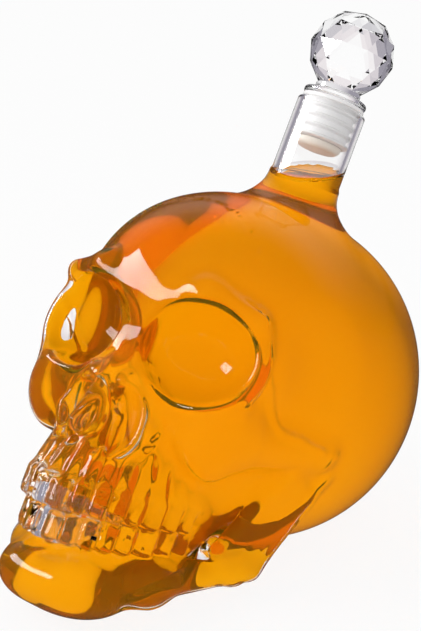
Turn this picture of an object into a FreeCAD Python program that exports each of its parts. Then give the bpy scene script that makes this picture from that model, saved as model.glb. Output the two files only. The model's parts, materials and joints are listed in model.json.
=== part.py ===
import FreeCAD, Part
import Sketcher
import math
import os

os.makedirs("parts", exist_ok=True)
doc = FreeCAD.newDocument("skull_decanter")
V = FreeCAD.Vector
sheet = doc.addObject("Spreadsheet::Sheet", "sizes")
sheet_rows = []


class Dim:
    # a length together with the sheet expression that drives it
    def __init__(self, text, value):
        self.text = text
        self.value = value

    def __add__(self, other):
        return Dim("(%s + %s)" % (self.text, other.text), self.value + other.value)

    def __sub__(self, other):
        return Dim("(%s - %s)" % (self.text, other.text), self.value - other.value)

    def __mul__(self, number):
        return Dim("(%s * %s)" % (self.text, number), self.value * number)

    def __truediv__(self, number):
        return Dim("(%s / %s)" % (self.text, number), self.value / number)


def size(alias, number):
    sheet_rows.append(alias)
    row = len(sheet_rows)
    sheet.set("A%d" % row, alias)
    sheet.set("B%d" % row, str(number))
    sheet.setAlias("B%d" % row, alias)
    return Dim("sizes." + alias, number)


# skull
skull_width = size("skull_width", 116.0)
skull_depth = size("skull_depth", 180.0)
skull_height = size("skull_height", 181.0)
glass_wall = size("glass_wall", 2.7)
ridge_wall = size("ridge_wall", 2.1)
rest_flat = size("rest_flat", 1.8)
# neck
neck_outer = size("neck_outer", 28.0)
neck_bore = size("neck_bore", 23.6)
neck_length = size("neck_length", 36.6)
flare_height = size("flare_height", 22.2)
flare_reach = size("flare_reach", 20.0)
flare_drop = size("flare_drop", 1.5)
flare_round = size("flare_round", 6.0)
mouth_round = size("mouth_round", 0.9)
mouth_bevel = size("mouth_bevel", 0.4)
# liquor
film_gap = size("film_gap", 0.3)
fill_depth = size("fill_depth", 28.5)
# stopper
rib_clear = size("rib_clear", 0.1)
rib_height = size("rib_height", 1.5)
rib_pitch = size("rib_pitch", 4.0)
rib_start = size("rib_start", 2.6)
rib_root = size("rib_root", 2.0)
rib_tip = size("rib_tip", 0.7)
sleeve_length = size("sleeve_length", 15.4)
lip_outer = size("lip_outer", 25.4)
lip_thick = size("lip_thick", 2.0)
lip_round = size("lip_round", 0.6)
stem_outer = size("stem_outer", 14.0)
stem_clear = size("stem_clear", 0.05)
end_gap = size("end_gap", 0.2)
end_inset = size("end_inset", 0.9)
end_length = size("end_length", 3.2)
end_round = size("end_round", 2.6)
disc_outer = size("disc_outer", 25.8)
disc_thick = size("disc_thick", 2.6)
disc_round = size("disc_round", 1.0)
collar_outer = size("collar_outer", 18.6)
collar_height = size("collar_height", 3.0)
ball_outer = size("ball_outer", 34.4)
ball_foot = size("ball_foot", 16.4)
doc.recompute()
rib_count = 4

# the skull is drawn at this size, neck upright, from the middle of the braincase
# (+X its left, +Y its back), and stretched to the sizes above
drawn_width, drawn_depth, drawn_height = 116.0, 180.0, 181.0
stretch_x = skull_width.value / drawn_width
stretch_y = skull_depth.value / drawn_depth
stretch_z = skull_height.value / drawn_height
drawn_scale = (stretch_x * stretch_y * stretch_z) ** (1.0 / 3.0)
neck_at = V(0, -18.8 * stretch_y, 67.8 * stretch_z)
mouth_at = neck_at + V(0, 0, neck_length.value)


def turned_axes(ax, az):
    # rows of the rotation about X, then about Z
    ca, sa = math.cos(math.radians(ax)), math.sin(math.radians(ax))
    cz, sz = math.cos(math.radians(az)), math.sin(math.radians(az))
    return ((cz, -sz * ca, sz * sa), (sz, cz * ca, -cz * sa), (0.0, sa, ca))


def ellipsoid(centre, radii, ax=0.0, az=0.0):
    cx, cy, cz = centre
    rx, ry, rz = radii
    m = turned_axes(ax, az)

    def distance(x, y, z):
        x, y, z = x - cx, y - cy, z - cz
        u = (m[0][0] * x + m[1][0] * y + m[2][0] * z) / rx
        v = (m[0][1] * x + m[1][1] * y + m[2][1] * z) / ry
        w = (m[0][2] * x + m[1][2] * y + m[2][2] * z) / rz
        near = math.sqrt(u * u + v * v + w * w) + 1e-9
        slope = math.sqrt((u / rx) ** 2 + (v / ry) ** 2 + (w / rz) ** 2) + 1e-9
        return near * (near - 1.0) / slope
    return distance, centre, max(radii)


def bone(a, b, ra, rb):
    ax, ay, az = a
    dx, dy, dz = b[0] - ax, b[1] - ay, b[2] - az
    squared = dx * dx + dy * dy + dz * dz

    def distance(x, y, z):
        x, y, z = x - ax, y - ay, z - az
        t = min(max((x * dx + y * dy + z * dz) / squared, 0.0), 1.0)
        return math.sqrt((x - t * dx) ** 2 + (y - t * dy) ** 2 + (z - t * dz) ** 2) - ra - (rb - ra) * t
    middle = ((a[0] + b[0]) / 2, (a[1] + b[1]) / 2, (a[2] + b[2]) / 2)
    return distance, middle, math.sqrt(squared) / 2 + max(ra, rb)


def rim_ring(centre, wide, high, thick, ax, az):
    cx, cy, cz = centre
    m = turned_axes(ax, az)

    def distance(x, y, z):
        x, y, z = x - cx, y - cy, z - cz
        u = (m[0][0] * x + m[1][0] * y + m[2][0] * z) / wide
        v = m[0][1] * x + m[1][1] * y + m[2][1] * z
        w = (m[0][2] * x + m[1][2] * y + m[2][2] * z) / high
        near = math.sqrt(u * u + w * w) + 1e-9
        slope = math.sqrt((u / wide) ** 2 + (w / high) ** 2) + 1e-9
        return math.sqrt((near * (near - 1.0) / slope) ** 2 + v * v) - thick
    return distance, centre, max(wide, high) + thick


def block(centre, axes, half, rounding):
    cx, cy, cz = centre
    hx, hy, hz = half[0] - rounding, half[1] - rounding, half[2] - rounding
    (ax, ay, az), (bx, by, bz), (ex, ey, ez) = axes

    def distance(x, y, z):
        x, y, z = x - cx, y - cy, z - cz
        u = abs(ax * x + ay * y + az * z) - hx
        v = abs(bx * x + by * y + bz * z) - hy
        w = abs(ex * x + ey * y + ez * z) - hz
        outside = math.sqrt(max(u, 0.0) ** 2 + max(v, 0.0) ** 2 + max(w, 0.0) ** 2)
        return outside + min(max(u, v, w), 0.0) - rounding
    return distance, centre, math.sqrt(half[0] ** 2 + half[1] ** 2 + half[2] ** 2)


def unit(vector):
    length = math.sqrt(sum(c * c for c in vector))
    return tuple(c / length for c in vector)


def cross(a, b):
    return (a[1] * b[2] - a[2] * b[1], a[2] * b[0] - a[0] * b[2], a[0] * b[1] - a[1] * b[0])


forms = []


def add(form, blend, fine=False):
    forms.append((1, form[0], blend, form[1], form[2], fine))


def cut(form, blend, fine=False):
    forms.append((-1, form[0], blend, form[1], form[2], fine))


# braincase, forehead and the mass behind the face
add(ellipsoid((0, -2, -4), (58, 76, 65.8), 5), 1)
add(ellipsoid((0, -46, 8), (49, 46, 45)), 22)
add(ellipsoid((0, -34, -46), (36, 44, 40)), 20)
# temples
cut(ellipsoid((67, -48, -4), (16, 26, 30), 0, -14), 12)
# plate of the upper face and the brows
add(ellipsoid((0, -59, -10), (46, 20, 23)), 14)
add(bone((7, -81, 3), (24, -84.5, 9.5), 5.5, 4.8), 7, True)
add(bone((24, -84.5, 9.5), (44, -76, 6.5), 4.8, 4.3), 7, True)
# upper jaw
add(ellipsoid((0, -68, -46), (27, 26, 30)), 14)
add(ellipsoid((0, -58, -66), (31, 39, 16)), 10)
# cheek bones, their arches and the crease in front of them
add(ellipsoid((35.5, -67, -36), (15.5, 15, 19), 0, -30), 9)
add(bone((42, -56, -36), (51, -18, -29), 9.0, 4.5), 8)
cut(bone((18, -93, -38), (32, -69, -59), 2.5, 4.0), 6)
# ridge of the nose and the rim of its opening
add(bone((0, -77, -2), (0, -100, -50), 4.5, 3.6), 6, True)
add(bone((8, -89, -30), (18.5, -83.5, -45), 3.5, 3.5), 5, True)
add(bone((18.5, -83.5, -45), (9, -89, -59), 3.5, 3.5), 5, True)
# eye sockets in their raised rims, and the nose opening
add(rim_ring((26.7, -77, -11.5), 22.8, 19.2, 4.4, -6, 13), 6, True)
cut(ellipsoid((26.7, -80, -11.5), (21.8, 19, 18.2), -6, 13), 2.5)
cut(ellipsoid((10.6, -93.5, -44.5), (8.4, 13.5, 13.5), 0, 10), 2.5)
# lower jaw and chin
add(ellipsoid((0, -74, -107), (24, 20.5, 12)), 8)
add(bone((12, -82, -105.5), (28, -62, -97), 8.5, 8.0), 8)
add(bone((28, -62, -95.5), (35.5, -18, -78.5), 7.5, 5.0), 8)
add(ellipsoid((0, -52, -84), (26, 33, 20)), 10)
add(ellipsoid((0, -62, -93), (22, 22, 12.5)), 8)
# branch of the lower jaw that rises to the ear
branch_up = unit((11.0, 14.0, 40.0))
branch_out = unit(cross(branch_up, (0.0, -1.0, 0.25)))
branch_axes = (branch_out, cross(branch_up, branch_out), branch_up)
add(block((40.5, -25, -61), branch_axes, (3.8, 12.0, 23.0), 3.2), 6, True)
add(bone((37, -14, -78), (48.5, -8, -36), 3.4, 2.4), 5, True)


def tooth_row(half_width, depth, back, widths):
    # places along one half of the arch: a quarter ellipse that runs on straight
    steps = 300
    path = []
    for i in range(steps + 1):
        a = math.pi / 2 * i / steps
        path.append((half_width * math.sin(a), back - depth * math.cos(a)))
    path.append((half_width + 1.5, back + 20.0))
    places = []
    reached = 0.0
    run = 0.0
    index = 1
    for width in widths:
        middle = reached + width / 2
        reached += width
        while True:
            (x0, y0), (x1, y1) = path[index - 1], path[index]
            length = math.hypot(x1 - x0, y1 - y0)
            if run + length >= middle or index == len(path) - 1:
                break
            run += length
            index += 1
        t = (middle - run) / length
        along = ((x1 - x0) / length, (y1 - y0) / length, 0.0)
        places.append((x0 + t * (x1 - x0), y0 + t * (y1 - y0), along, width, middle))
    return places


# teeth: a crown each, and over the upper ones the ridge of the root
for x, y, along, width, middle in tooth_row(31.0, 42.0, -58.0, (8.6, 7.2, 7.6, 7.0, 7.0, 9.0, 8.5, 8.0)):
    out = (along[1], -along[0], 0.0)
    lift = 5.5 * (middle / 48.0) ** 1.5
    axes = (along, (-out[0], -out[1], 0.0), (0.0, 0.0, 1.0))
    crown = (x - 2.6 * out[0], y - 2.6 * out[1], -76.3 + lift)
    add(block(crown, axes, (width / 2 - 0.2, 4.2, 5.8), 2.2), 1.2, True)
    neck = (x - 2.6 * out[0], y - 2.6 * out[1], -70.0 + lift)
    tip = (0.96 * x - 3.6 * out[0], 0.97 * y - 1.0 - 3.6 * out[1], -57.0 + lift)
    add(bone(neck, tip, 2.9, 1.7), 2, True)
for x, y, along, width, middle in tooth_row(29.0, 37.5, -58.0, (6.6, 6.8, 7.4, 7.2, 7.2, 9.4, 9.0, 8.5)):
    out = (along[1], -along[0], 0.0)
    lift = 9.0 * (middle / 48.0) ** 1.6
    axes = (along, (-out[0], -out[1], 0.0), (0.0, 0.0, 1.0))
    crown = (x - 2.6 * out[0], y - 2.6 * out[1], -88.5 + lift)
    add(block(crown, axes, (width / 2 - 0.2, 4.0, 5.8), 2.2), 1.2, True)


def joined(a, b, k):
    h = max(k - abs(a - b), 0.0) / k
    return min(a, b) - h * h * k / 4.0


def kept(a, b, k):
    h = max(k - abs(a - b), 0.0) / k
    return max(a, b) + h * h * k / 4.0


def skull(x, y, z):
    # distance to the skull's skin, and to the same skull without its fine forms
    x = math.sqrt(x * x + 1.0)
    full = 1e6
    plain = 1e6
    for sign, distance, blend, centre, reach, fine in forms:
        away = math.sqrt((x - centre[0]) ** 2 + (y - centre[1]) ** 2 + (z - centre[2]) ** 2) - reach
        if away > blend + 8.0:
            if sign > 0:
                full = min(full, away)
                if not fine:
                    plain = min(plain, away)
            continue
        d = distance(x, y, z)
        if sign > 0:
            full = joined(full, d, blend)
            if not fine:
                plain = joined(plain, d, blend)
        else:
            full = kept(full, -d, blend)
            if not fine:
                plain = kept(plain, -d, blend)
    return full, plain


# rays square to an egg inside the head that is flat front to back, so that they meet the face head on;
# they stand closer together over the face, and the poles lie under the neck and under the jaw
egg_centre = (0.0, -20.0, -28.0)
egg_radii = (28.0, 14.0, 44.0)
around_count = 120
row_count = 92
face_crowding = 0.3
wall_drawn = glass_wall.value / drawn_scale
ridge_drawn = ridge_wall.value / drawn_scale
film_drawn = film_gap.value / drawn_scale


def ray_from_egg(direction):
    start = tuple(c + r * d for c, r, d in zip(egg_centre, egg_radii, direction))
    return start, unit([d / r for r, d in zip(egg_radii, direction)])


def three_skins(ray):
    # where the skin, the cavity and the liquor end along one ray, found from outside
    (cx, cy, cz), (dx, dy, dz) = ray
    reach = 200.0
    for step in range(120):
        full, plain = skull(cx + dx * reach, cy + dy * reach, cz + dz * reach)
        reach -= 0.8 * full
        if abs(full) < 0.01:
            break
    found = [place_on_ray(ray, reach)]
    for inset in (0.0, film_drawn):
        for step in range(80):
            full, plain = skull(cx + dx * reach, cy + dy * reach, cz + dz * reach)
            left = kept(plain + wall_drawn, full + ridge_drawn, 3.0) + inset
            if left < 0.01:
                break
            reach -= max(0.7 * left, 0.005)
        found.append(place_on_ray(ray, reach))
    return found


def place_on_ray(ray, reach):
    (cx, cy, cz), (dx, dy, dz) = ray
    return V((cx + dx * reach) * stretch_x, (cy + dy * reach) * stretch_y, (cz + dz * reach) * stretch_z)


skins = ([], [], [])
half_around = around_count // 2
for row in range(row_count):
    climb = math.pi * row / (row_count - 1)
    rings = ([], [], [])
    if row in (0, row_count - 1):
        pole = ray_from_egg((0.0, 0.0, -math.cos(climb)))
        for ring, place in zip(rings, three_skins(pole)):
            ring.extend([place] * around_count)
    else:
        for i in range(half_around + 1):
            share = i / around_count
            turn = 2 * math.pi * share + face_crowding * math.sin(2 * math.pi * share)
            direction = (math.sin(climb) * math.sin(turn), math.sin(climb) * math.cos(turn), -math.cos(climb))
            for ring, place in zip(rings, three_skins(ray_from_egg(direction))):
                ring.append(place)
        for ring in rings:
            for i in range(half_around - 1, 0, -1):
                ring.append(V(-ring[i].x, ring[i].y, ring[i].z))
    for skin, ring in zip(skins, rings):
        skin.append(ring)


def skin_solid(rings):
    # a smooth closed skin that the sampled points pull into shape
    surface = Part.BSplineSurface()
    across = [[rings[row][i] for row in range(row_count)] for i in range(around_count)]
    inner_knots = row_count - 3
    surface.buildFromPolesMultsKnots(
        across,
        [1] * (around_count + 1),
        [4] + [1] * (inner_knots - 1) + [4],
        [float(k) for k in range(around_count + 1)],
        [float(k) for k in range(inner_knots + 1)],
        True, False, 3, 3)
    return Part.Solid(Part.Shell([surface.toShape()]))


# the head lies back until chin and back of the head touch one plane
def height(point, recline):
    return point.z * math.cos(recline) - point.y * math.sin(recline)


skin_points = [point for ring in skins[0] for point in ring]
chin_points = [point for point in skin_points if point.y < egg_centre[1] * stretch_y]
back_points = [point for point in skin_points if point.y >= egg_centre[1] * stretch_y]
low, high = math.radians(10.0), math.radians(50.0)
for step in range(50):
    recline = (low + high) / 2
    if min(height(p, recline) for p in chin_points) < min(height(p, recline) for p in back_points):
        low = recline
    else:
        high = recline
table = min(height(p, recline) for p in skin_points) + rest_flat.value
tilt = FreeCAD.Rotation(V(1, 0, 0), math.degrees(recline))
lay_back = tilt.inverted()
laid = [lay_back.multVec(point) for point in skin_points]
middle_y = (min(p.y for p in laid) + max(p.y for p in laid)) / 2
rest = FreeCAD.Placement(V(0, -middle_y, -table), lay_back)


def plane_of(body, role):
    return next(f for f in body.Origin.OriginFeatures if f.Role == role)


def turned(label, section):
    # a piece of revolution; the section lists (radius, height), None for a point on the axis or the base
    body = doc.addObject("PartDesign::Body", label)
    sketch = body.newObject("Sketcher::SketchObject", label + "_section")
    sketch.AttachmentSupport = (plane_of(body, "XZ_Plane"), [""])
    sketch.MapMode = "FlatFace"
    corners = [V(r.value if r else 0.0, z.value if z else 0.0, 0) for r, z in section]
    count = len(corners)
    for i in range(count):
        sketch.addGeometry(Part.LineSegment(corners[i], corners[(i + 1) % count]), False)
    for i in range(count):
        sketch.addConstraint(Sketcher.Constraint("Coincident", i, 2, (i + 1) % count, 1))
    for i, (r, z) in enumerate(section):
        if r is None:
            sketch.addConstraint(Sketcher.Constraint("PointOnObject", i, 1, -2))
        else:
            number = sketch.addConstraint(Sketcher.Constraint("DistanceX", -1, 1, i, 1, r.value))
            sketch.setExpression("Constraints[%d]" % number, r.text)
        if z is None:
            sketch.addConstraint(Sketcher.Constraint("PointOnObject", i, 1, -1))
        else:
            number = sketch.addConstraint(Sketcher.Constraint("DistanceY", -1, 1, i, 1, z.value))
            sketch.setExpression("Constraints[%d]" % number, z.text)
    turn = body.newObject("PartDesign::Revolution", label + "_turn")
    turn.Profile = sketch
    turn.ReferenceAxis = (sketch, ["V_Axis"])
    turn.Angle = 360
    body.Tip = turn
    doc.recompute()
    return body


def rounded(body, radius, rings):
    # rounds the circular edges at the given (radius, height)
    names = []
    for i, edge in enumerate(body.Shape.Edges, 1):
        if edge.Curve.TypeId != "Part::GeomCircle":
            continue
        for r, z in rings:
            if abs(edge.Curve.Radius - r.value) < 1e-4 and abs(edge.Curve.Center.z - z.value) < 1e-4:
                names.append("Edge%d" % i)
    base = body.Tip
    fillet = body.newObject("PartDesign::Fillet", body.Name + "_round")
    fillet.Base = (base, names)
    fillet.setExpression("Radius", radius.text)
    body.Tip = fillet
    doc.recompute()


def feature(label, shape):
    item = doc.addObject("Part::Feature", label)
    item.Shape = shape
    return item


def half_space(label, level, above):
    # a block that fills one side of a level plane
    item = doc.addObject("Part::Box", label)
    for side, factor in (("Length", 6), ("Width", 6), ("Height", 3)):
        item.setExpression(side, (skull_depth * factor).text)
    corner = V(-skull_depth.value * 3, -skull_depth.value * 3, 0 if above else -skull_depth.value * 3)
    item.Placement = FreeCAD.Placement(tilt.multVec(V(0, 0, level) + corner), tilt)
    return item


def boolean(kind, label, base, tool):
    item = doc.addObject("Part::" + kind, label)
    item.Base = base
    item.Tool = tool
    doc.recompute()
    return item


# glass skull and neck, blown in one
skin = feature("skin", skin_solid(skins[0]))
ground = boolean("Cut", "ground_skin", skin, half_space("table_side", table, False))
neck_radius = neck_outer / 2
neck_top = flare_height + neck_length
neck = turned("neck", [
    (None, None),
    (neck_radius + flare_reach, None),
    (neck_radius, flare_height),
    (neck_radius, neck_top),
    (None, neck_top)])
rounded(neck, flare_round, [(neck_radius, flare_height)])
rounded(neck, mouth_round, [(neck_radius, neck_top)])
neck_base = neck_at - V(0, 0, flare_height.value)
neck.Placement.Base = neck_base
blown = boolean("Fuse", "blown", ground, neck)
bore_radius = neck_bore / 2
bore_reach = flare_reach - flare_drop * 2
bore = turned("bore", [
    (None, None),
    (bore_radius + bore_reach, None),
    (bore_radius, flare_height - flare_drop),
    (bore_radius, neck_top - mouth_bevel),
    (bore_radius + mouth_bevel * 2, neck_top + mouth_bevel),
    (None, neck_top + mouth_bevel)])
bore.Placement.Base = neck_base
inner_skin = feature("inner_skin", skin_solid(skins[1]))
floor_side = half_space("floor_side", table + glass_wall.value, False)
cavity = boolean("Cut", "cavity", inner_skin, floor_side)
hollow = boolean("Fuse", "hollow", cavity, bore)
glass_body = boolean("Cut", "glass_body", blown, hollow)
glass_body.Placement = rest

# liquor, up to a level surface in the neck
column_radius = bore_radius - film_gap
column = turned("column", [
    (None, None),
    (column_radius + bore_reach, None),
    (column_radius, flare_height - flare_drop - film_gap),
    (column_radius, neck_top),
    (None, neck_top)])
column.Placement.Base = neck_base
poured_skin = feature("poured_skin", skin_solid(skins[2]))
film_side = half_space("film_side", table + glass_wall.value + film_gap.value, False)
poured = boolean("Cut", "poured", poured_skin, film_side)
fill = boolean("Fuse", "fill", poured, column)
fill_level = height(mouth_at - V(0, 0, fill_depth.value), recline)
liquor = boolean("Cut", "liquor", fill, half_space("air_side", fill_level, True))
liquor.Placement = rest


def on_neck(drop):
    # a place on the neck's axis, measured down from the mouth
    return rest * FreeCAD.Placement(mouth_at - V(0, 0, drop), FreeCAD.Rotation())


# ribbed sleeve that seals the bore, its lip on the mouth
rib_radius = bore_radius - rib_clear
sleeve_radius = rib_radius - rib_height
hole_radius = stem_outer / 2 + stem_clear
sleeve_top = sleeve_length + lip_thick
section = [(hole_radius, None), (sleeve_radius, None)]
for number in reversed(range(rib_count)):
    rib_at = sleeve_length - rib_start - rib_pitch * number
    section.append((sleeve_radius, rib_at - rib_root / 2))
    section.append((rib_radius, rib_at - rib_tip / 2))
    section.append((rib_radius, rib_at + rib_tip / 2))
    section.append((sleeve_radius, rib_at + rib_root / 2))
section += [
    (sleeve_radius, sleeve_length),
    (lip_outer / 2, sleeve_length),
    (lip_outer / 2, sleeve_top),
    (hole_radius, sleeve_top)]
stopper_sleeve = turned("stopper_sleeve", section)
rounded(stopper_sleeve, lip_round, [(lip_outer / 2, sleeve_length), (lip_outer / 2, sleeve_top)])
stopper_sleeve.Placement = on_neck(sleeve_length.value)

# stem through the sleeve, with the rounded end under it
end_radius = sleeve_radius - end_inset
stem_foot = end_length
stem_top = end_length + end_gap + sleeve_top
stopper_stem = turned("stopper_stem", [
    (None, None),
    (end_radius, None),
    (end_radius, stem_foot),
    (stem_outer / 2, stem_foot),
    (stem_outer / 2, stem_top),
    (None, stem_top)])
rounded(stopper_stem, end_round, [(end_radius, end_length * 0)])
stopper_stem.Placement = on_neck(sleeve_length.value + end_gap.value + end_length.value)

# clear disc and collar under the ball
disc_top = disc_thick + collar_height
stopper_disc = turned("stopper_disc", [
    (None, None),
    (disc_outer / 2, None),
    (disc_outer / 2, disc_thick),
    (collar_outer / 2, disc_thick),
    (collar_outer / 2, disc_top),
    (None, disc_top)])
rounded(stopper_disc, disc_round, [(disc_outer / 2, disc_thick * 0), (disc_outer / 2, disc_thick)])
stopper_disc.Placement = on_neck(-lip_thick.value)

# cut crystal ball: each of the twenty faces of an icosahedron ground into four
ball_radius = ball_outer.value / 2
foot_height = math.sqrt(ball_radius ** 2 - (ball_foot.value / 2) ** 2)
corners = [V(0, 0, 1), V(0, 0, -1)]
for i in range(5):
    upper = math.radians(90 + 72 * i)
    lower = math.radians(126 + 72 * i)
    corners.append(V(2 * math.cos(upper), 2 * math.sin(upper), 1) / math.sqrt(5))
    corners.append(V(2 * math.cos(lower), 2 * math.sin(lower), -1) / math.sqrt(5))
edge_length = min((corners[0] - c).Length for c in corners[2:])
faces = []
for a in range(12):
    for b in range(a + 1, 12):
        for c in range(b + 1, 12):
            pairs = ((corners[a], corners[b]), (corners[b], corners[c]), (corners[a], corners[c]))
            if any(abs((p - q).Length - edge_length) > 0.01 for p, q in pairs):
                continue
            ab, bc, ac = [((p + q) / 2).normalize() for p, q in pairs]
            for triangle in ((corners[a], ab, ac), (ab, corners[b], bc), (ac, bc, corners[c]), (ab, bc, ac)):
                points = [p * ball_radius for p in triangle]
                faces.append(Part.Face(Part.makePolygon(points + points[:1])))
facets = feature("facets", Part.Solid(Part.Shell(faces)))
foot_block = doc.addObject("Part::Cylinder", "foot_block")
foot_block.setExpression("Radius", ball_outer.text)
foot_block.setExpression("Height", ball_outer.text)
foot_block.Placement.Base = V(0, 0, -foot_height - ball_outer.value)
stopper_ball = boolean("Cut", "stopper_ball", facets, foot_block)
stopper_ball.Placement = on_neck(-lip_thick.value - disc_top.value - foot_height)

doc.recompute()
for item in doc.Objects:
    if "Invalid" in item.State or "Error" in item.State:
        raise RuntimeError(item.Label + " failed to build")
for piece in (glass_body, liquor, stopper_sleeve, stopper_stem, stopper_disc, stopper_ball):
    shape = piece.Shape
    if shape.isNull() or not shape.isValid() or len(shape.Solids) != 1:
        raise RuntimeError(piece.Label + " is not one sound solid")
    shape.exportStep("parts/%s.step" % piece.Label)
    print(piece.Label, "volume", round(shape.Volume / 1000, 2), "ml")
axis = lay_back.multVec(V(0, 0, 1))
mouth = rest.multVec(mouth_at)
print("recline", round(math.degrees(recline), 4))
print("neck axis", round(axis.x, 6), round(axis.y, 6), round(axis.z, 6))
print("mouth", round(mouth.x, 4), round(mouth.y, 4), round(mouth.z, 4))
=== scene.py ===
import json
import math
import bmesh
import bpy
import numpy as np
from mathutils import Matrix, Vector


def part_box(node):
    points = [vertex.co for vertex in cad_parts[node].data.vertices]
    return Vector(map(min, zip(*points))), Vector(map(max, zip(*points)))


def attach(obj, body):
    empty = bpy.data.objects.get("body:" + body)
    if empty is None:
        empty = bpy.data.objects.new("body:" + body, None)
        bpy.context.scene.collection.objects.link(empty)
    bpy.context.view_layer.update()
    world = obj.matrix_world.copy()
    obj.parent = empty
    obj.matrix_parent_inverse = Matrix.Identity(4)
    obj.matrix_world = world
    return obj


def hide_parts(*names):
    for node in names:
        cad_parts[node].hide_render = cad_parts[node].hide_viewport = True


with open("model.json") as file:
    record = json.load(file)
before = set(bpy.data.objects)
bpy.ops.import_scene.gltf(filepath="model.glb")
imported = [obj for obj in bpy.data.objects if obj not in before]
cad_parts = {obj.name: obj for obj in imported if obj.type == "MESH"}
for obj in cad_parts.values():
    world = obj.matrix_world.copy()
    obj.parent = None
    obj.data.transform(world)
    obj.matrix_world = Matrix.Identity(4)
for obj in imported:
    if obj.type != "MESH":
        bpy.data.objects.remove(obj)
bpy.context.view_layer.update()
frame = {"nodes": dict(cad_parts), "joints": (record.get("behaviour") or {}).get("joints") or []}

# the head is shaped upright, in mm, and laid back as each mesh is made
neck = {
    "back": -18.8, "ringHeight": 67.8, "mouthHeight": 104.4,  # axis in Y, top of the flare, mouth
    "tube": 14.0, "bore": 11.8, "tubeFoot": 74.2, "mouthRound": 1.1, "boreRound": 0.6, "sides": 128,
    "flareStart": 1.0, "flareSlope": 1.11, "flareSoft": 4.0, "flareFoot": 42.0, "footSoft": 2.0,
    "flareBlend": 5.0, "innerDrop": 1.5, "innerSlope": 1.22, "innerBlend": 4.0}
twist = [j for j in frame["joints"] if j["name"] == "stopper_twist"][0]  # its axis is the neck's
axisRest = np.array(twist["axis"]) / np.linalg.norm(twist["axis"])
mouthRest = np.array(twist["pos_m"]) * 1000
mouthUpright = np.array([0.0, neck["back"], neck["mouthHeight"]])
layBack = np.array([[1, 0, 0], [0, axisRest[2], axisRest[1]], [0, -axisRest[1], axisRest[2]]])


def toRest(p):
    return (p - mouthUpright) @ layBack.T + mouthRest


# smooth forms as signed distances, on points p of shape (n, 3)
def smoothMin(a, b, blend):
    near = np.maximum(blend - np.abs(a - b), 0) / blend
    return np.minimum(a, b) - near * near * blend / 4


def smoothMax(a, b, blend):
    return -smoothMin(-a, -b, blend)


def carve(a, b, blend):
    return smoothMax(a, -b, blend)


def turnMatrix(aboutX, aboutZ):
    cx, sx = math.cos(math.radians(aboutX)), math.sin(math.radians(aboutX))
    cz, sz = math.cos(math.radians(aboutZ)), math.sin(math.radians(aboutZ))
    return np.array([[cz, -sz * cx, sz * sx], [sz, cz * cx, -cz * sx], [0, sx, cx]])


# each form gives its distance, its centre and how far it reaches
def ellipsoid(centre, radii, aboutX=0, aboutZ=0):
    turn = turnMatrix(aboutX, aboutZ)

    def distance(p):
        q = (p - centre) @ turn / radii
        near = np.sqrt((q * q).sum(-1)) + 1e-9
        slope = np.sqrt(((q / radii) ** 2).sum(-1)) + 1e-9
        return near * (near - 1) / slope
    return distance, np.array(centre, float), max(radii)


def bone(start, end, startRadius, endRadius):
    start, end = np.array(start, float), np.array(end, float)
    along = end - start

    def distance(p):
        t = np.clip((p - start) @ along / (along @ along), 0, 1)
        radius = startRadius + (endRadius - startRadius) * t
        return np.linalg.norm(p - start - t[:, None] * along, axis=-1) - radius
    return distance, (start + end) / 2, np.linalg.norm(along) / 2 + max(startRadius, endRadius)


def rimRing(centre, wide, high, thick, aboutX, aboutZ):
    turn = turnMatrix(aboutX, aboutZ)

    def distance(p):
        q = (p - centre) @ turn
        u, w = q[:, 0] / wide, q[:, 2] / high
        near = np.sqrt(u * u + w * w) + 1e-9
        slope = np.sqrt((u / wide) ** 2 + (w / high) ** 2) + 1e-9
        return np.sqrt((near * (near - 1) / slope) ** 2 + q[:, 1] ** 2) - thick
    return distance, np.array(centre, float), max(wide, high) + thick


def block(centre, axes, half, rounding):
    inner = np.array(half) - rounding

    def distance(p):
        q = np.abs((p - centre) @ axes.T) - inner
        return np.linalg.norm(np.maximum(q, 0), axis=-1) + np.minimum(q.max(-1), 0) - rounding
    return distance, np.array(centre, float), np.linalg.norm(half)


forms = []


# a fine form shapes the outside only, and the wall is thicker behind it
def add(form, blend, fine=False):
    forms.append((smoothMin, *form, blend, fine))


def cut(form, blend, fine=False):
    forms.append((carve, *form, blend, fine))


# the skull's left half, from the crown down
add(ellipsoid((0, -2, -4), (58, 76, 65.8), 5), 1)  # braincase
add(ellipsoid((0, -46, 8), (49, 46, 45)), 22)  # forehead
add(ellipsoid((0, -34, -46), (36, 44, 40)), 20)  # base of the skull
cut(ellipsoid((67, -48, -4), (16, 26, 30), 0, -14), 12)  # temple
add(ellipsoid((0, -59, -10), (46, 20, 23)), 14)  # upper face
add(bone((7, -81, 3), (24, -84.5, 9.5), 5.5, 4.8), 7)  # brow, inner half
add(bone((24, -84.5, 9.5), (44, -76, 6.5), 4.8, 4.3), 7)  # brow, outer half
add(ellipsoid((0, -68, -46), (27, 26, 30)), 14)  # upper jaw
add(ellipsoid((0, -58, -66), (31, 39, 16)), 10)  # gums behind the upper teeth
add(ellipsoid((35.5, -67, -36), (15.5, 15, 19), 0, -30), 9)  # cheek
add(bone((42, -56, -36), (51, -18, -29), 9.0, 4.5), 8)  # cheekbone
cut(bone((18, -93, -38), (32, -69, -59), 2.5, 4.0), 6)  # hollow under the cheek
add(bone((0, -77, -2), (0, -100, -50), 4.5, 3.6), 6, True)  # ridge of the nose
add(bone((8, -89, -30), (18.5, -83.5, -45), 3.5, 3.5), 5, True)  # rim of the nose, upper half
add(bone((18.5, -83.5, -45), (9, -89, -59), 3.5, 3.5), 5, True)  # rim of the nose, lower half
add(rimRing((26.7, -77, -11.5), 22.8, 19.2, 4.4, -6, 13), 6)  # rim of the eye socket
cut(ellipsoid((26.7, -80, -11.5), (21.8, 19, 18.2), -6, 13), 2.5)  # eye socket
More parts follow.
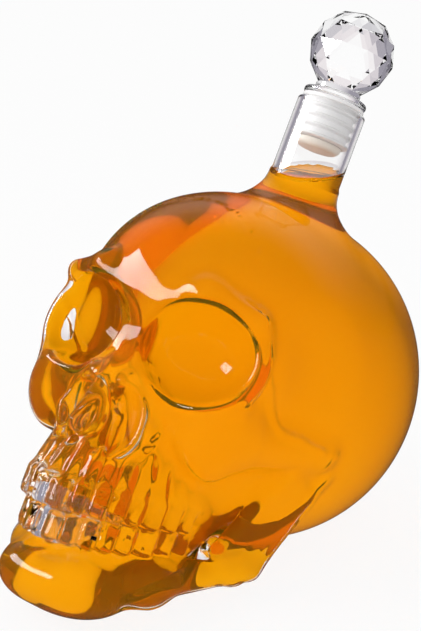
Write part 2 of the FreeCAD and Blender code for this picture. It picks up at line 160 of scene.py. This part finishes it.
cut(ellipsoid((10.6, -93.5, -44.5), (8.4, 13.5, 13.5), 0, 10), 2.5)  # opening of the nose
add(ellipsoid((0, -74, -107), (24, 20.5, 12)), 8)  # chin
add(bone((12, -82, -105.5), (28, -62, -97), 8.5, 8.0), 8)  # lower jaw, front
add(bone((28, -62, -95.5), (35.5, -18, -78.5), 7.5, 5.0), 8)  # lower jaw, side
add(ellipsoid((0, -52, -84), (26, 33, 20)), 10)  # gums behind the lower teeth
add(ellipsoid((0, -62, -93), (22, 22, 12.5)), 8)  # floor of the jaw

# a bead along the rear edge of the cheekbone
templeEdge = [
    (51, -70, -6), (48.5, -60.9, -14.5), (47.3, -52.3, -22.3), (49.7, -47, -27),
    (52.5, -36, -27), (55.1, -24.7, -27.8), (55.7, -13.9, -26.9)]
for start, end in zip(templeEdge, templeEdge[1:]):
    add(bone(start, end, 0.4, 0.4), 3, True)

# the flat branch that rises from the jaw to the ear
branchUp = np.array([11.0, 14.0, 40.0])
branchUp /= np.linalg.norm(branchUp)
branchOut = np.cross(branchUp, (0, -1, 0.25))
branchOut /= np.linalg.norm(branchOut)
branchAxes = np.array([branchOut, np.cross(branchUp, branchOut), branchUp])
add(block((40.5, -25, -61), branchAxes, (3.8, 12, 23), 3.2), 6)
add(bone((37, -14, -78), (48.5, -8, -36), 3.4, 2.4), 5)

# teeth, from the middle back; a row lifts towards its end by so much at 48 mm along the arch
tooth = {"sink": 2.6, "gap": 0.2, "halfHeight": 5.8, "rounding": 2.2, "blend": 1.2, "liftRun": 48}
upperTeeth = {
    "halfWidth": 31, "depth": 42, "back": -58, "widths": [8.6, 7.2, 7.6, 7, 7, 9, 8.5, 8],
    "height": -76.3, "lift": 5.5, "liftPower": 1.5, "halfThick": 4.2}
lowerTeeth = {
    "halfWidth": 29, "depth": 37.5, "back": -58, "widths": [6.6, 6.8, 7.4, 7.2, 7.2, 9.4, 9, 8.5],
    "height": -88.5, "lift": 9, "liftPower": 1.6, "halfThick": 4}
root = {
    "height": -70, "tipHeight": -57, "tipForward": 1, "tipSink": 3.6, "tipScale": (0.96, 0.97, 0),
    "radius": 2.9, "tipRadius": 1.7, "blend": 2}


def toothPlaces(row):
    # places along one half of the arch: a quarter ellipse that runs on straight
    a = np.linspace(0, math.pi / 2, 301)
    path = np.stack([row["halfWidth"] * np.sin(a), row["back"] - row["depth"] * np.cos(a)], 1)
    path = np.vstack([path, [row["halfWidth"] + 1.5, row["back"] + 20]])
    run = np.concatenate([[0], np.cumsum(np.linalg.norm(np.diff(path, axis=0), axis=1))])
    widths = np.array(row["widths"])
    for width, middle in zip(widths, np.cumsum(widths) - widths / 2):
        i = min(np.searchsorted(run, middle) - 1, len(path) - 2)
        along = (path[i + 1] - path[i]) / (run[i + 1] - run[i])
        place = path[i] + along * (middle - run[i])
        yield np.array([*place, 0]), np.array([*along, 0]), width, middle


for row in (upperTeeth, lowerTeeth):
    for place, along, width, middle in toothPlaces(row):
        out = np.array([along[1], -along[0], 0])
        lift = row["lift"] * (middle / tooth["liftRun"]) ** row["liftPower"]
        axes = np.array([along, -out, [0, 0, 1]])
        sunk = place - tooth["sink"] * out
        half = (width / 2 - tooth["gap"], row["halfThick"], tooth["halfHeight"])
        crown = block(sunk + [0, 0, row["height"] + lift], axes, half, tooth["rounding"])
        add(crown, tooth["blend"], True)
        if row is upperTeeth:  # the upper row alone has ridges for its roots
            tipShift = [0, -root["tipForward"], root["tipHeight"] + lift]
            rootTip = place * root["tipScale"] + tipShift - root["tipSink"] * out
            rootStart = sunk + [0, 0, root["height"] + lift]
            add(bone(rootStart, rootTip, root["radius"], root["tipRadius"]), root["blend"], True)
print("forms", len(forms))
middleSoft = 1  # the two halves join softly over this width
formMargin = 8  # each form is worked out this far past its reach


def skullForms(p):
    # distance to the skull's skin, and to the same skull without its fine forms
    p = np.array(p)
    p[:, 0] = np.sqrt(p[:, 0] ** 2 + middleSoft ** 2)  # both halves at once
    full = np.full(len(p), 1e6)
    plain = full.copy()
    for join, distance, centre, reach, blend, fine in forms:
        near = np.nonzero(((p - centre) ** 2).sum(-1) < (reach + blend + formMargin) ** 2)[0]
        d = distance(p[near])
        full[near] = join(full[near], d, blend)
        if not fine:
            plain[near] = join(plain[near], d, blend)
    return full, plain


glass = {
    "wall": 2.0, "ridge": 1.6, "baseSoft": 0.8, "innerSoft": 2.0,
    "thinWall": 1.2, "thinRidge": 0.9,  # what the wall and the ridges lose at the thin spots
    "thinSpots": [((38, 24, 72), 18), ((48, 70, 12), 11)]}  # place without signs, and reach
liquor = {
    "level": float(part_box("liquor")[1].z) * 1000,
    "climb": 1.6, "climbWidth": 1.3,  # how high and how far in it climbs the bore
    "edgeSoft": 0.2, "film": 0.05, "lid": 0.12}  # film and lid: air between liquor and glass


def flare(p, radius, ring, slope):
    # a tube that widens below the ring
    out = np.hypot(p[:, 0], p[:, 1] - neck["back"])
    below = ring - neck["flareStart"] - p[:, 2]
    soft = np.sqrt(below * below + neck["flareSoft"] ** 2)
    widen = (below + soft) / 2 / slope
    tilt = (1 + below / soft) / 2 / slope
    side = (out - radius - widen) / np.sqrt(1 + tilt * tilt)
    return smoothMax(side, neck["flareFoot"] - p[:, 2], neck["footSoft"])


def outerSkin(p):
    tube = flare(p, neck["tube"], neck["ringHeight"], neck["flareSlope"])
    full = smoothMin(skullForms(p)[0], tube, neck["flareBlend"])
    return smoothMax(full, -toRest(p)[:, 2], glass["baseSoft"])


def innerSkin(p):
    full, plain = skullForms(p)
    thin = 0
    for spot, reach in glass["thinSpots"]:
        thin = thin + np.exp(-((np.abs(p) - spot) ** 2).sum(-1) / (2 * reach ** 2))
    thin = np.minimum(thin, 1)
    wall = glass["wall"] - glass["thinWall"] * thin
    ridge = glass["ridge"] - glass["thinRidge"] * thin
    skin = smoothMax(plain + wall, full + ridge, glass["innerSoft"])
    bore = flare(p, neck["bore"], neck["ringHeight"] - neck["innerDrop"], neck["innerSlope"])
    skin = smoothMin(skin, bore, neck["innerBlend"])
    return smoothMax(skin, glass["wall"] - toRest(p)[:, 2], glass["baseSoft"])


def liquorSkin(p):
    top = toRest(p)[:, 2] - liquor["level"] + liquor["lid"]
    return smoothMax(innerSkin(p), top, liquor["edgeSoft"])


def steepness(skin, points, step=0.02):
    value = skin(points)
    slope = np.stack([skin(points + step * e) - skin(points - step * e) for e in np.eye(3)], 1)
    return value, slope / (2 * step)


def spread(*stops):
    # grid lines between (place, spacing) stops, the spacing changing evenly
    lines = [stops[0][0]]
    for (a, da), (b, db) in zip(stops, stops[1:]):
        count = max(round(2 * (b - a) / (da + db)), 1)
        t = np.arange(1, count + 1) / count
        share = da * t + (db - da) * t * t / 2
        lines += list(a + (b - a) * share / share[-1])
    return np.array(lines)


def surfaceNet(values, lines):
    # a point in each cell that the skin crosses, and a quad round each grid edge that it crosses
    cells = tuple(n - 1 for n in values.shape)
    total = np.zeros(cells + (3,))
    count = np.zeros(cells)
    index = np.arange(np.prod(cells)).reshape(cells)
    quads = []
    for axis in range(3):
        b, c = [a for a in range(3) if a != axis]
        lowSide = np.take(values, range(cells[axis]), axis)
        highSide = np.take(values, range(1, cells[axis] + 1), axis)
        crossing = (lowSide < 0) != (highSide < 0)
        t = np.where(crossing, lowSide / np.where(crossing, lowSide - highSide, 1), 0)
        at = np.nonzero(crossing)
        spot = np.column_stack([lines[a][at[a]] for a in range(3)])
        spot[:, axis] += t[at] * np.diff(lines[axis])[at[axis]]
        corners = []
        for stepB, stepC in ((0, 0), (1, 0), (1, 1), (0, 1)):
            cell = list(at)
            cell[b] = at[b] - stepB
            cell[c] = at[c] - stepC
            good = (cell[b] >= 0) & (cell[b] < cells[b]) & (cell[c] >= 0) & (cell[c] < cells[c])
            where = tuple(i[good] for i in cell)
            np.add.at(total, where, spot[good])
            np.add.at(count, where, 1)
            corners.append((cell, good))
        allGood = np.all([good for cell, good in corners], axis=0)
        quad = np.stack([index[tuple(i[allGood] for i in cell)] for cell, good in corners], 1)
        flip = (values < 0)[tuple(i[allGood] for i in at)] == (axis == 1)
        quad[flip] = quad[flip][:, ::-1]
        quads.append(quad)
    used, quads = np.unique(np.vstack(quads), return_inverse=True)
    points = total.reshape(-1, 3)[used] / count.reshape(-1)[used][:, None]
    middle = used // (cells[1] * cells[2]) == 0
    topRow = used % cells[2] == cells[2] - 1
    return points, quads.reshape(-1, 4), middle, topRow


gridHalf = 62  # past the widest place of the skull


def skinMesh(skin, ys, zs, step):
    # one half of the skin on a grid, pulled onto its exact place and mirrored
    lines = (np.arange(-step / 2, gridHalf + step, step), ys, zs)
    grid = np.stack(np.meshgrid(*lines, indexing="ij"), -1)
    values = skin(grid.reshape(-1, 3)).reshape(grid.shape[:3])
    points, quads, middle, topRow = surfaceNet(values, lines)
    points[middle, 0] = 0
    for turn in range(3):
        value, slope = steepness(skin, points)
        move = (value / (slope ** 2).sum(-1))[:, None] * slope
        moved = points - np.clip(move, -step, step)
        moved[topRow, 2] = points[topRow, 2]
        moved[middle, 0] = 0
        points = moved
    normals = steepness(skin, points)[1]
    normals /= np.linalg.norm(normals, axis=1)[:, None]
    mirror = np.array([-1, 1, 1])
    twin = np.where(middle, np.arange(len(points)), np.cumsum(~middle) - 1 + len(points))
    allPoints = np.vstack([points, points[~middle] * mirror])
    allNormals = np.vstack([normals, normals[~middle] * mirror])
    allQuads = np.vstack([quads, twin[quads][:, ::-1]])
    top = np.nonzero(np.concatenate([topRow, topRow[~middle]]))[0]
    return allPoints, allNormals, allQuads, top


def arc(radius, height, size, first, last, count=7):
    # rings round a rounded edge, the angles in degrees
    angles = np.radians(np.linspace(first, last, count))
    return [(radius + size * math.cos(a), height + size * math.sin(a)) for a in angles]


sides = neck["sides"]
turns = np.arange(sides) * 2 * math.pi / sides


def latheRings(rings):
    # a surface turned about the neck; a ring's radius and height are one for all sides or one for each
    points = []
    for r, z in rings:
        points.append(np.column_stack([r * np.cos(turns), r * np.sin(turns) + neck["back"], z + 0 * turns]))
    i = np.arange(sides)
    j = (i + 1) % sides
    quads = [np.column_stack([i, j, j + sides, i + sides]) + k * sides for k in range(len(rings) - 1)]
    return np.vstack(points), np.vstack(quads)


def pointNormals(points, quads):
    # normals of a smooth surface from its faces
    across = points[quads[:, 2]] - points[quads[:, 0]]
    along = points[quads[:, 3]] - points[quads[:, 1]]
    facing = np.cross(across, along)
    total = np.zeros(points.shape)
    for corner in range(4):
        np.add.at(total, quads[:, corner], facing)
    return total / np.linalg.norm(total, axis=1)[:, None]


def seamFaces(points, lower, upper):
    # triangles between two loops round the neck, facing out
    angle = np.arctan2(points[:, 1] - neck["back"], points[:, 0])
    lower = lower[np.argsort(angle[lower])]
    upper = upper[np.argsort(angle[upper])]
    n, m = len(lower), len(upper)
    i = j = 0
    faces = []
    while i < n or j < m:
        nextLower = angle[lower[(i + 1) % n]] + 2 * math.pi * ((i + 1) // n) if i < n else math.inf
        nextUpper = angle[upper[(j + 1) % m]] + 2 * math.pi * ((j + 1) // m) if j < m else math.inf
        if nextLower < nextUpper:
            faces.append((lower[i % n], lower[(i + 1) % n], upper[j % m]))
            i += 1
        else:
            faces.append((lower[i % n], upper[(j + 1) % m], upper[j % m]))
            j += 1
    return faces


def makePiece(name, points, faces, normals=None):
    mesh = bpy.data.meshes.new(name)
    mesh.from_pydata((toRest(points) / 1000).tolist(), [], [list(map(int, f)) for f in faces])
    if normals is not None:
        mesh.polygons.foreach_set("use_smooth", [True] * len(mesh.polygons))
        mesh.normals_split_custom_set_from_vertices((normals @ layBack.T).tolist())
    mesh.update()
    piece = bpy.data.objects.new(name, mesh)
    bpy.context.scene.collection.objects.link(piece)
    return piece


# outside of the skull, up to the foot of the tube
skinY = spread((-108, 1.0), (-56, 1.15), (-20, 2.0), (80, 2.4))
skinZ = spread((-124, 1.2), (-40, 1.0), (14, 1.3), (40, 1.8), (72, 1.1), (73.2, 1.2))
skullPoints, skullNormals, skullQuads, skullTop = skinMesh(outerSkin, skinY, skinZ, 1.1)
print("skull skin", len(skullQuads))

# the tube: up the outside, over the mouth, down the bore and in over the liquor
levelHeight = neck["mouthHeight"] - (mouthRest[2] - liquor["level"]) / axisRest[2]
levelSteps = [0.15, 0.35, 0.6, 1.0, 1.5, 2.2, 3.2, 5.0, 7.5, 10.0, 11.6]  # in from the bore


def levelRing(r):
    # heights of a ring on the liquor's surface, which is level at rest and climbs at the glass
    climb = liquor["climb"] * np.exp(np.minimum(r - neck["bore"], 0) / liquor["climbWidth"])
    return levelHeight + (r * np.sin(turns) * axisRest[1] + climb) / axisRest[2]


mouthEdge = neck["mouthHeight"] - neck["mouthRound"]
boreTop = neck["mouthHeight"] - neck["boreRound"]
rings = [(neck["tube"], z) for z in np.linspace(neck["tubeFoot"], mouthEdge, 8)]
rings += arc(neck["tube"] - neck["mouthRound"], mouthEdge, neck["mouthRound"], 0, 90, 8)[1:]
rings += arc(neck["bore"] + neck["boreRound"], boreTop, neck["boreRound"], 90, 180, 6)
for t in np.linspace(0.05, 1, 10):
    rings.append((neck["bore"], boreTop + (levelRing(neck["bore"]) - boreTop) * t))
for r in neck["bore"] - np.array(levelSteps):
    rings.append((r, levelRing(r)))
tubePoints, tubeQuads = latheRings(rings)
tubeStart = len(skullPoints)
points = np.vstack([skullPoints, tubePoints])
normals = np.vstack([skullNormals, pointNormals(tubePoints, tubeQuads)])
faces = list(skullQuads) + list(tubeQuads + tubeStart)
faces += seamFaces(points, skullTop, tubeStart + np.arange(sides))
faces.append(list(len(points) - sides + np.arange(sides)))
dryFaces, dryPoints = len(faces), len(points)

# liquor
fillY = spread((-108, 1.2), (-56, 1.5), (-20, 2.4), (80, 3.0))
fillZ = spread((-124, 1.4), (-40, 1.2), (14, 1.8), (40, 2.2), (64, 0.9), (88, 0.9))
fillPoints, fillNormals, fillQuads, fillTop = skinMesh(liquorSkin, fillY, fillZ, 1.2)
liquorFill = makePiece("liquor_fill", fillPoints, fillQuads, fillNormals)
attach(liquorFill, "bottle")
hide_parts("liquor")
print("liquor", len(fillQuads))

# glass, with the wall that the liquor wets
points = np.vstack([points, fillPoints + liquor["film"] * fillNormals])
normals = np.vstack([normals, -fillNormals])
faces += list(fillQuads[:, ::-1] + dryPoints)
glassBody = makePiece("glass_skull", points, faces, normals)
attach(glassBody, "bottle")
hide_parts("glass_body")
print("glass body", len(faces))

# faceted ball, its foot just off the collar
ball = {"radius": 17.2, "foot": 8.2, "collarTop": 7.6, "gap": 0.04, "turn": 18.0}
build = bmesh.new()
bmesh.ops.create_icosphere(build, subdivisions=2, radius=ball["radius"])
facetTurn = Matrix.Rotation(math.radians(ball["turn"]), 3, "Z")
bmesh.ops.rotate(build, verts=build.verts[:], matrix=facetTurn)
footDepth = math.sqrt(ball["radius"] ** 2 - ball["foot"] ** 2)
cutting = bmesh.ops.bisect_plane(
    build, geom=build.verts[:] + build.edges[:] + build.faces[:],
    plane_co=(0, 0, -footDepth + ball["gap"]), plane_no=(0, 0, -1), clear_outer=True)
footEdges = [e for e in cutting["geom_cut"] if isinstance(e, bmesh.types.BMEdge)]
bmesh.ops.contextual_create(build, geom=footEdges)
build.verts.index_update()
ballPoints = np.array([v.co for v in build.verts]) + mouthUpright + [0, 0, ball["collarTop"] + footDepth]
ballFaces = [[v.index for v in f.verts] for f in build.faces]
build.free()
stopperBall = makePiece("crystal_ball", ballPoints, ballFaces)
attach(stopperBall, "handle")
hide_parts("stopper_ball")
print("ball", len(ballFaces))

# clear disc and collar, just off the sleeve's lip so that no faces meet
disc = {
    "radius": 12.9, "foot": 2.0, "thick": 2.6, "edge": 1.0,
    "collar": 9.3, "corner": 0.5, "gap": 0.04, "centre": 0.4}
footHeight = neck["mouthHeight"] + disc["foot"] + disc["gap"]
discHeight = neck["mouthHeight"] + disc["foot"] + disc["thick"]
collarHeight = neck["mouthHeight"] + ball["collarTop"]
edge, corner = disc["edge"], disc["corner"]
discRings = [(disc["centre"], footHeight)]
discRings += arc(disc["radius"] - edge, footHeight + edge, edge, -90, 0)
discRings += arc(disc["radius"] - edge, discHeight - edge, edge, 0, 90)
discRings += arc(disc["collar"] + corner, discHeight + corner, corner, -90, -180)
discRings += arc(disc["collar"] - corner, collarHeight - corner, corner, 0, 90)
discRings.append((disc["centre"], collarHeight))
discPoints, discQuads = latheRings(discRings)
discCaps = [list(range(sides))[::-1], list(len(discPoints) - sides + np.arange(sides))]
discNormals = pointNormals(discPoints, discQuads)
stopperDisc = makePiece("clear_disc", discPoints, list(discQuads) + discCaps, discNormals)
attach(stopperDisc, "handle")
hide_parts("stopper_disc")
print("disc", len(discQuads) + len(discCaps))


def linear(hexColour):
    # sRGB hex to the linear values that shaders take
    channels = [int(hexColour[i:i + 2], 16) / 255 for i in (1, 3, 5)]
    return tuple(c / 12.92 if c <= 0.04045 else ((c + 0.055) / 1.055) ** 2.4 for c in channels) + (1.0,)


def addNode(tree, kind, inputs=None, stops=(), **settings):
    # inputs are links or plain values by the socket's name or number, stops are a ramp's places and colours
    node = tree.nodes.new(kind)
    for key, value in settings.items():
        setattr(node, key, value)
    for socket, source in (inputs or {}).items():
        if isinstance(source, bpy.types.NodeSocket):
            tree.links.new(source, node.inputs[socket])
        else:
            node.inputs[socket].default_value = source
    for extra in stops[2:]:
        node.color_ramp.elements.new(0.5)
    for number, (spot, colour) in enumerate(stops):
        node.color_ramp.elements[number].position = spot
        node.color_ramp.elements[number].color = linear(colour)
    return node


def newMaterial(name, surface, depth=None):
    material = bpy.data.materials.new(name)
    material.use_nodes = True
    tree = material.node_tree
    tree.nodes.clear()
    shader = addNode(tree, "ShaderNodeBsdfPrincipled", surface)
    output = addNode(tree, "ShaderNodeOutputMaterial", {"Surface": shader.outputs[0]})
    if depth:
        absorbing = addNode(tree, "ShaderNodeVolumeAbsorption", depth)
        tree.links.new(absorbing.outputs[0], output.inputs["Volume"])
    return material


def paint(piece, *materials):
    piece.data.materials.clear()
    for material in materials:
        piece.data.materials.append(material)


# blown soda-lime glass, fire-polished: smooth and colourless, so only its bent edges show
clearGlass = newMaterial("fire-polished soda-lime glass", {
    "Base Color": linear("#ffffff"), "Roughness": 0.0, "IOR": 1.48, "Transmission Weight": 1.0})
# the same glass with spirit behind it: its index is well below the real 1.5, because light that runs
# round inside it for long ends black, and the stronger specular gives back the shine that this costs
filledGlass = newMaterial("fire-polished soda-lime glass over spirit", {
    "Base Color": linear("#ffffff"), "Roughness": 0.0, "IOR": 1.225, "Specular IOR Level": 1.0,
    "Transmission Weight": 1.0})
# the inside of the wall, wet: the edge between glass and spirit all but vanishes, with a warm trace of haze
wetGlass = newMaterial("wetted soda-lime glass", {
    "Base Color": linear("#ffd330"), "Roughness": 0.0, "IOR": 1.05, "Transmission Weight": 0.93})
paint(glassBody, filledGlass, clearGlass, wetGlass)
slotRuns = [len(skullQuads), dryFaces - len(skullQuads), len(fillQuads)]
glassBody.data.polygons.foreach_set("material_index", np.repeat([0, 1, 2], slotRuns))

# aged spirit, filtered bright: golden where it is thin and orange where it is deep
amber = newMaterial("filtered amber spirit", {
    "Base Color": linear("#ffd030"), "Roughness": 0.0, "IOR": 1.0, "Transmission Weight": 0.94},
    {"Color": linear("#fff87c"), "Density": 30.0})
paint(liquorFill, amber)

# lead crystal, cut and polished: flat facets that each show another part of the room, with an index
# below the real 1.55 so that the middle stays white and only the outer facets are grey
crystal = newMaterial("cut and polished lead crystal", {
    "Base Color": linear("#ffffff"), "Roughness": 0.0, "IOR": 1.42, "Transmission Weight": 1.0})
paint(stopperBall, crystal)
paint(stopperDisc, crystal)

# moulded polythene: a milky white with a broad dull sheen that brings out the ribs
sleevePlastic = newMaterial("moulded white polythene", {
    "Base Color": linear("#fdfcfc"), "Roughness": 0.45, "IOR": 1.45})
paint(frame["nodes"]["stopper_sleeve"], sleevePlastic)
# the same plastic, a little shinier on its rounded end; its cream colour is painted light, standing in for
# the warm glow that the spirit throws on it
stemPaintedGlowPlastic = newMaterial("moulded polythene with painted warm glow", {
    "Base Color": linear("#f5efe4"), "Roughness": 0.4, "IOR": 1.5})
paint(frame["nodes"]["stopper_stem"], stemPaintedGlowPlastic)
print("materials done")

# camera at the photograph's angle, in degrees and metres
view = {
    "azimuth": 38.8285, "elevation": 18.8899, "roll": 2.0215,
    "distance": 0.96, "aim": (0, -0.0026787, 0.0980795),
    "focalPixels": 2500, "heightPixels": 631, "sensor": 36}
cameraData = bpy.data.cameras.new("photo camera")
cameraData.lens = view["focalPixels"] / view["heightPixels"] * view["sensor"]
cameraData.sensor_width = view["sensor"]
camera = bpy.data.objects.new("photo camera", cameraData)
bpy.context.scene.collection.objects.link(camera)
azimuth, elevation, roll = [math.radians(view[key]) for key in ("azimuth", "elevation", "roll")]
level = math.cos(elevation)
back = Vector((math.sin(azimuth) * level, -math.cos(azimuth) * level, math.sin(elevation)))
right = Vector((math.cos(azimuth), math.sin(azimuth), 0))
up = back.cross(right)
rolledRight = math.cos(roll) * right + math.sin(roll) * up
rolledUp = back.cross(rolledRight)
cameraTurn = Matrix((rolledRight, rolledUp, back)).transposed().to_4x4()
camera.matrix_world = Matrix.Translation(Vector(view["aim"]) + back * view["distance"]) @ cameraTurn
bpy.context.scene.camera = camera


def rayKinds(tree):
    # the kinds of ray, and 1 for a ray that was mirrored without passing through glass
    kinds = addNode(tree, "ShaderNodeLightPath").outputs
    mirrored = addNode(
        tree, "ShaderNodeMath", {0: kinds["Is Glossy Ray"], 1: kinds["Is Transmission Ray"]},
        operation="SUBTRACT", use_clamp=True)
    return kinds, mirrored.outputs[0]


# matt white paper for the floor: it glows white for the camera, keeps a faint shadow and stays dark in
# mirrored rays, so that the glass isn't washed out from below
ground = {"half": 6, "drop": 0.0002, "glowShare": 0.9, "mirroredGlow": 0.05}
half = ground["half"]
floorMesh = bpy.data.meshes.new("floor")
floorMesh.from_pydata(
    [(-half, -half, 0), (half, -half, 0), (half, half, 0), (-half, half, 0)], [], [(0, 1, 2, 3)])
floor = bpy.data.objects.new("floor", floorMesh)
bpy.context.scene.collection.objects.link(floor)
floor.location.z = -ground["drop"]
floor.visible_transmission = False  # glass shows the white room below too
floorPaper = bpy.data.materials.new("matt white paper")
floorPaper.use_nodes = True
tree = floorPaper.node_tree
tree.nodes.clear()
kinds, mirrored = rayKinds(tree)
matte = addNode(tree, "ShaderNodeBsdfDiffuse", {"Color": linear("#f3f3f3")})
glow = addNode(tree, "ShaderNodeEmission", {"Color": linear("#ffffff"), "Strength": 1.0})
dark = addNode(tree, "ShaderNodeEmission", {"Color": linear("#ffffff"), "Strength": ground["mirroredGlow"]})
share = addNode(
    tree, "ShaderNodeMath", {0: kinds["Is Camera Ray"], 1: ground["glowShare"]}, operation="MULTIPLY")
seen = addNode(tree, "ShaderNodeMixShader", {0: share.outputs[0], 1: matte.outputs[0], 2: glow.outputs[0]})
paper = addNode(tree, "ShaderNodeMixShader", {0: mirrored, 1: seen.outputs[0], 2: dark.outputs[0]})
addNode(tree, "ShaderNodeOutputMaterial", {"Surface": paper.outputs[0]})
paint(floor, floorPaper)

# a white room: bright behind the object and grey at its sides, which the glass shows
room = {
    "aside": -0.12, "raised": -0.24,  # how its near side is turned from the camera
    "through": [
        (0.0, "#ffffff"), (0.015, "#ffffff"), (0.036, "#eee8ea"), (0.068, "#cec8ce"),
        (0.1, "#9894a0"), (0.3, "#9894a0"), (0.45, "#ffffff")],
    "mirror": [(0.0, "#ffffff"), (0.15, "#e6e6e6"), (0.35, "#303030")],
    "mirrorLow": "#272727", "mirrorRise": 0.6,  # what is mirrored fades to dark at the horizon
    "below": (-0.75, -0.45),  # white again straight down
    "plain": "#e1e1e1"}  # light on the plastics
world = bpy.data.worlds.new("white studio")
bpy.context.scene.world = world
world.use_nodes = True
tree = world.node_tree
tree.nodes.clear()
kinds, mirrored = rayKinds(tree)
heading = addNode(tree, "ShaderNodeTexCoord").outputs["Generated"]
height = addNode(tree, "ShaderNodeSeparateXYZ", {0: heading}).outputs["Z"]
nearSide = (back + room["aside"] * right + room["raised"] * up).normalized()
facing = addNode(tree, "ShaderNodeVectorMath", {0: heading, 1: nearSide}, operation="DOT_PRODUCT")
turned = addNode(tree, "ShaderNodeMapRange", {"Value": facing.outputs["Value"], "From Min": -1.0})
through = addNode(tree, "ShaderNodeValToRGB", {"Fac": turned.outputs[0]}, room["through"])
mirror = addNode(tree, "ShaderNodeValToRGB", {"Fac": turned.outputs[0]}, room["mirror"])
raised = addNode(
    tree, "ShaderNodeMapRange", {"Value": height, "From Max": room["mirrorRise"]},
    interpolation_type="SMOOTHSTEP")
lowered = addNode(
    tree, "ShaderNodeMapRange", {"Value": height, "From Min": room["below"][0], "From Max": room["below"][1]},
    interpolation_type="SMOOTHSTEP")
above = addNode(
    tree, "ShaderNodeMixRGB", {0: raised.outputs[0], 1: linear(room["mirrorLow"]), 2: mirror.outputs[0]})
under = addNode(
    tree, "ShaderNodeMixRGB", {0: lowered.outputs[0], 1: linear("#ffffff"), 2: through.outputs[0]})
both = addNode(tree, "ShaderNodeMixRGB", {0: mirrored, 1: under.outputs[0], 2: above.outputs[0]})
plain = addNode(
    tree, "ShaderNodeMixRGB", {0: kinds["Is Diffuse Ray"], 1: both.outputs[0], 2: linear(room["plain"])})
seen = addNode(
    tree, "ShaderNodeMixRGB", {0: kinds["Is Camera Ray"], 1: plain.outputs[0], 2: linear("#ffffff")})
sky = addNode(tree, "ShaderNodeBackground", {"Color": seen.outputs[0], "Strength": 1.0})
addNode(tree, "ShaderNodeOutputWorld", {"Surface": sky.outputs[0]})


lampAim = Vector((0, 0, 0.1))  # middle of the skull


def softbox(name, place, size, power):
    data = bpy.data.lights.new(name, "AREA")
    data.shape = "RECTANGLE"
    data.size, data.size_y = size
    data.energy = power
    lamp = bpy.data.objects.new(name, data)
    bpy.context.scene.collection.objects.link(lamp)
    lamp.location = place
    lamp.rotation_mode = "QUATERNION"
    lamp.rotation_quaternion = (lampAim - Vector(place)).to_track_quat("-Z", "Y")
    lamp.visible_transmission = False
    return lamp


keyBox = softbox("key softbox", (-0.5, -0.9, 1.0), (0.6, 0.6), 5)
keyBox.visible_glossy = False  # lights the plastics and floor
shineBox = softbox("long softbox", (-0.9, -0.75, 0.75), (1.3, 0.4), 44)
shineBox.visible_diffuse = False  # only makes the shine on brows and nose
bpy.context.scene.view_settings.view_transform = "Standard"
print("room and lamps done")
